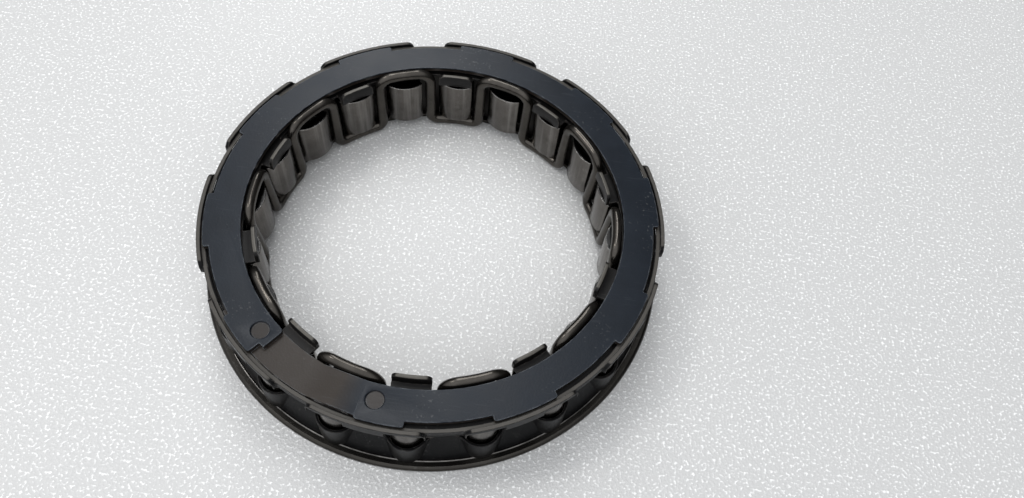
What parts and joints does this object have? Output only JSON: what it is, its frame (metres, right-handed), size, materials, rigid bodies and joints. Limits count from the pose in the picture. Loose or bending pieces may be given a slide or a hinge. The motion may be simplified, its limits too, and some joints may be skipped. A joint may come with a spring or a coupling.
{
  "type": "sprag clutch",
  "caption": "Ring-shaped one-way clutch with rocking steel sprags held between two pressed cages and a lapped end ring, for the gap between two races.",
  "frame": {"origin": "centre of the underside of the flanged base ring, on the clutch's axis of rotation", "axes": "+Z along the axis of rotation, from the flanged base ring towards the split end ring; -Y towards the viewer's side"},
  "size_m": [0.109, 0.109, 0.0198],
  "materials": {
    "blue_phosphate": "dark blue-grey phosphate, matt",
    "gunmetal_sheet": "brown-grey phosphated sheet, satin",
    "bronze_brown_sheet": "brown-grey phosphated sheet, satin",
    "spring_steel": "satin strip steel",
    "ground_steel": "ground steel, satin"
  },
  "bodies": {
    "outer_assembly": {"outer_cage": "gunmetal_sheet", "base_ring": "bronze_brown_sheet", "keeper_ring": "gunmetal_sheet", "end_ring": "blue_phosphate", "energising_spring": "spring_steel"},
    "inner_cage": {"inner_cage": "gunmetal_sheet"},
    "sprag_01": {"sprag_01": "ground_steel"},
    "sprag_02": {"sprag_02": "ground_steel"},
    "sprag_03": {"sprag_03": "ground_steel"},
    "sprag_04": {"sprag_04": "ground_steel"},
    "sprag_05": {"sprag_05": "ground_steel"},
    "sprag_06": {"sprag_06": "ground_steel"},
    "sprag_07": {"sprag_07": "ground_steel"},
    "sprag_08": {"sprag_08": "ground_steel"},
    "sprag_09": {"sprag_09": "ground_steel"},
    "sprag_10": {"sprag_10": "ground_steel"},
    "sprag_11": {"sprag_11": "ground_steel"},
    "sprag_12": {"sprag_12": "ground_steel"},
    "sprag_13": {"sprag_13": "ground_steel"},
    "sprag_14": {"sprag_14": "ground_steel"},
    "sprag_15": {"sprag_15": "ground_steel"},
    "sprag_16": {"sprag_16": "ground_steel"},
    "sprag_17": {"sprag_17": "ground_steel"},
    "sprag_18": {"sprag_18": "ground_steel"},
    "sprag_19": {"sprag_19": "ground_steel"},
    "sprag_20": {"sprag_20": "ground_steel"}
  },
  "joints": [
    {"name": "inner_cage_turn", "type": "hinge", "parent": "outer_assembly", "child": "inner_cage", "pos_m": [0, 0, 0.01], "axis": [0, 0, 1], "range_deg": [-0.5, 0.9]},
    {"name": "sprag_01_tilt", "type": "hinge", "parent": "outer_assembly", "child": "sprag_01", "pos_m": [-0.01242, -0.04668, 0.00935], "axis": [0, 0, 1], "range_deg": [-5.3, 3]},
    {"name": "sprag_02_tilt", "type": "hinge", "parent": "outer_assembly", "child": "sprag_02", "pos_m": [0.00261, -0.04823, 0.00935], "axis": [0, 0, 1], "range_deg": [-5.3, 3]},
    {"name": "sprag_03_tilt", "type": "hinge", "parent": "outer_assembly", "child": "sprag_03", "pos_m": [0.01739, -0.04506, 0.00935], "axis": [0, 0, 1], "range_deg": [-5.3, 3]},
    {"name": "sprag_04_tilt", "type": "hinge", "parent": "outer_assembly", "child": "sprag_04", "pos_m": [0.03046, -0.03748, 0.00935], "axis": [0, 0, 1], "range_deg": [-5.3, 3]},
    {"name": "sprag_05_tilt", "type": "hinge", "parent": "outer_assembly", "child": "sprag_05", "pos_m": [0.04055, -0.02624, 0.00935], "axis": [0, 0, 1], "range_deg": [-5.3, 3]},
    {"name": "sprag_06_tilt", "type": "hinge", "parent": "outer_assembly", "child": "sprag_06", "pos_m": [0.04668, -0.01242, 0.00935], "axis": [0, 0, 1], "range_deg": [-5.3, 3]},
    {"name": "sprag_07_tilt", "type": "hinge", "parent": "outer_assembly", "child": "sprag_07", "pos_m": [0.04823, 0.00261, 0.00935], "axis": [0, 0, 1], "range_deg": [-5.3, 3]},
    {"name": "sprag_08_tilt", "type": "hinge", "parent": "outer_assembly", "child": "sprag_08", "pos_m": [0.04506, 0.01739, 0.00935], "axis": [0, 0, 1], "range_deg": [-5.3, 3]},
    {"name": "sprag_09_tilt", "type": "hinge", "parent": "outer_assembly", "child": "sprag_09", "pos_m": [0.03748, 0.03046, 0.00935], "axis": [0, 0, 1], "range_deg": [-5.3, 3]},
    {"name": "sprag_10_tilt", "type": "hinge", "parent": "outer_assembly", "child": "sprag_10", "pos_m": [0.02624, 0.04055, 0.00935], "axis": [0, 0, 1], "range_deg": [-5.3, 3]},
    {"name": "sprag_11_tilt", "type": "hinge", "parent": "outer_assembly", "child": "sprag_11", "pos_m": [0.01242, 0.04668, 0.00935], "axis": [0, 0, 1], "range_deg": [-5.3, 3]},
    {"name": "sprag_12_tilt", "type": "hinge", "parent": "outer_assembly", "child": "sprag_12", "pos_m": [-0.00261, 0.04823, 0.00935], "axis": [0, 0, 1], "range_deg": [-5.3, 3]},
    {"name": "sprag_13_tilt", "type": "hinge", "parent": "outer_assembly", "child": "sprag_13", "pos_m": [-0.01739, 0.04506, 0.00935], "axis": [0, 0, 1], "range_deg": [-5.3, 3]},
    {"name": "sprag_14_tilt", "type": "hinge", "parent": "outer_assembly", "child": "sprag_14", "pos_m": [-0.03046, 0.03748, 0.00935], "axis": [0, 0, 1], "range_deg": [-5.3, 3]},
    {"name": "sprag_15_tilt", "type": "hinge", "parent": "outer_assembly", "child": "sprag_15", "pos_m": [-0.04055, 0.02624, 0.00935], "axis": [0, 0, 1], "range_deg": [-5.3, 3]},
    {"name": "sprag_16_tilt", "type": "hinge", "parent": "outer_assembly", "child": "sprag_16", "pos_m": [-0.04668, 0.01242, 0.00935], "axis": [0, 0, 1], "range_deg": [-5.3, 3]},
    {"name": "sprag_17_tilt", "type": "hinge", "parent": "outer_assembly", "child": "sprag_17", "pos_m": [-0.04823, -0.00261, 0.00935], "axis": [0, 0, 1], "range_deg": [-5.3, 3]},
    {"name": "sprag_18_tilt", "type": "hinge", "parent": "outer_assembly", "child": "sprag_18", "pos_m": [-0.04506, -0.01739, 0.00935], "axis": [0, 0, 1], "range_deg": [-5.3, 3]},
    {"name": "sprag_19_tilt", "type": "hinge", "parent": "outer_assembly", "child": "sprag_19", "pos_m": [-0.03748, -0.03046, 0.00935], "axis": [0, 0, 1], "range_deg": [-5.3, 3]},
    {"name": "sprag_20_tilt", "type": "hinge", "parent": "outer_assembly", "child": "sprag_20", "pos_m": [-0.02624, -0.04055, 0.00935], "axis": [0, 0, 1], "range_deg": [-5.3, 3]}
  ],
  "couplings": [
    {"joint": "sprag_01_tilt", "follows": "inner_cage_turn", "ratio": -5.75},
    {"joint": "sprag_02_tilt", "follows": "inner_cage_turn", "ratio": -5.75},
    {"joint": "sprag_03_tilt", "follows": "inner_cage_turn", "ratio": -5.75},
    {"joint": "sprag_04_tilt", "follows": "inner_cage_turn", "ratio": -5.75},
    {"joint": "sprag_05_tilt", "follows": "inner_cage_turn", "ratio": -5.75},
    {"joint": "sprag_06_tilt", "follows": "inner_cage_turn", "ratio": -5.75},
    {"joint": "sprag_07_tilt", "follows": "inner_cage_turn", "ratio": -5.75},
    {"joint": "sprag_08_tilt", "follows": "inner_cage_turn", "ratio": -5.75},
    {"joint": "sprag_09_tilt", "follows": "inner_cage_turn", "ratio": -5.75},
    {"joint": "sprag_10_tilt", "follows": "inner_cage_turn", "ratio": -5.75},
    {"joint": "sprag_11_tilt", "follows": "inner_cage_turn", "ratio": -5.75},
    {"joint": "sprag_12_tilt", "follows": "inner_cage_turn", "ratio": -5.75},
    {"joint": "sprag_13_tilt", "follows": "inner_cage_turn", "ratio": -5.75},
    {"joint": "sprag_14_tilt", "follows": "inner_cage_turn", "ratio": -5.75},
    {"joint": "sprag_15_tilt", "follows": "inner_cage_turn", "ratio": -5.75},
    {"joint": "sprag_16_tilt", "follows": "inner_cage_turn", "ratio": -5.75},
    {"joint": "sprag_17_tilt", "follows": "inner_cage_turn", "ratio": -5.75},
    {"joint": "sprag_18_tilt", "follows": "inner_cage_turn", "ratio": -5.75},
    {"joint": "sprag_19_tilt", "follows": "inner_cage_turn", "ratio": -5.75},
    {"joint": "sprag_20_tilt", "follows": "inner_cage_turn", "ratio": -5.75}
  ]
}
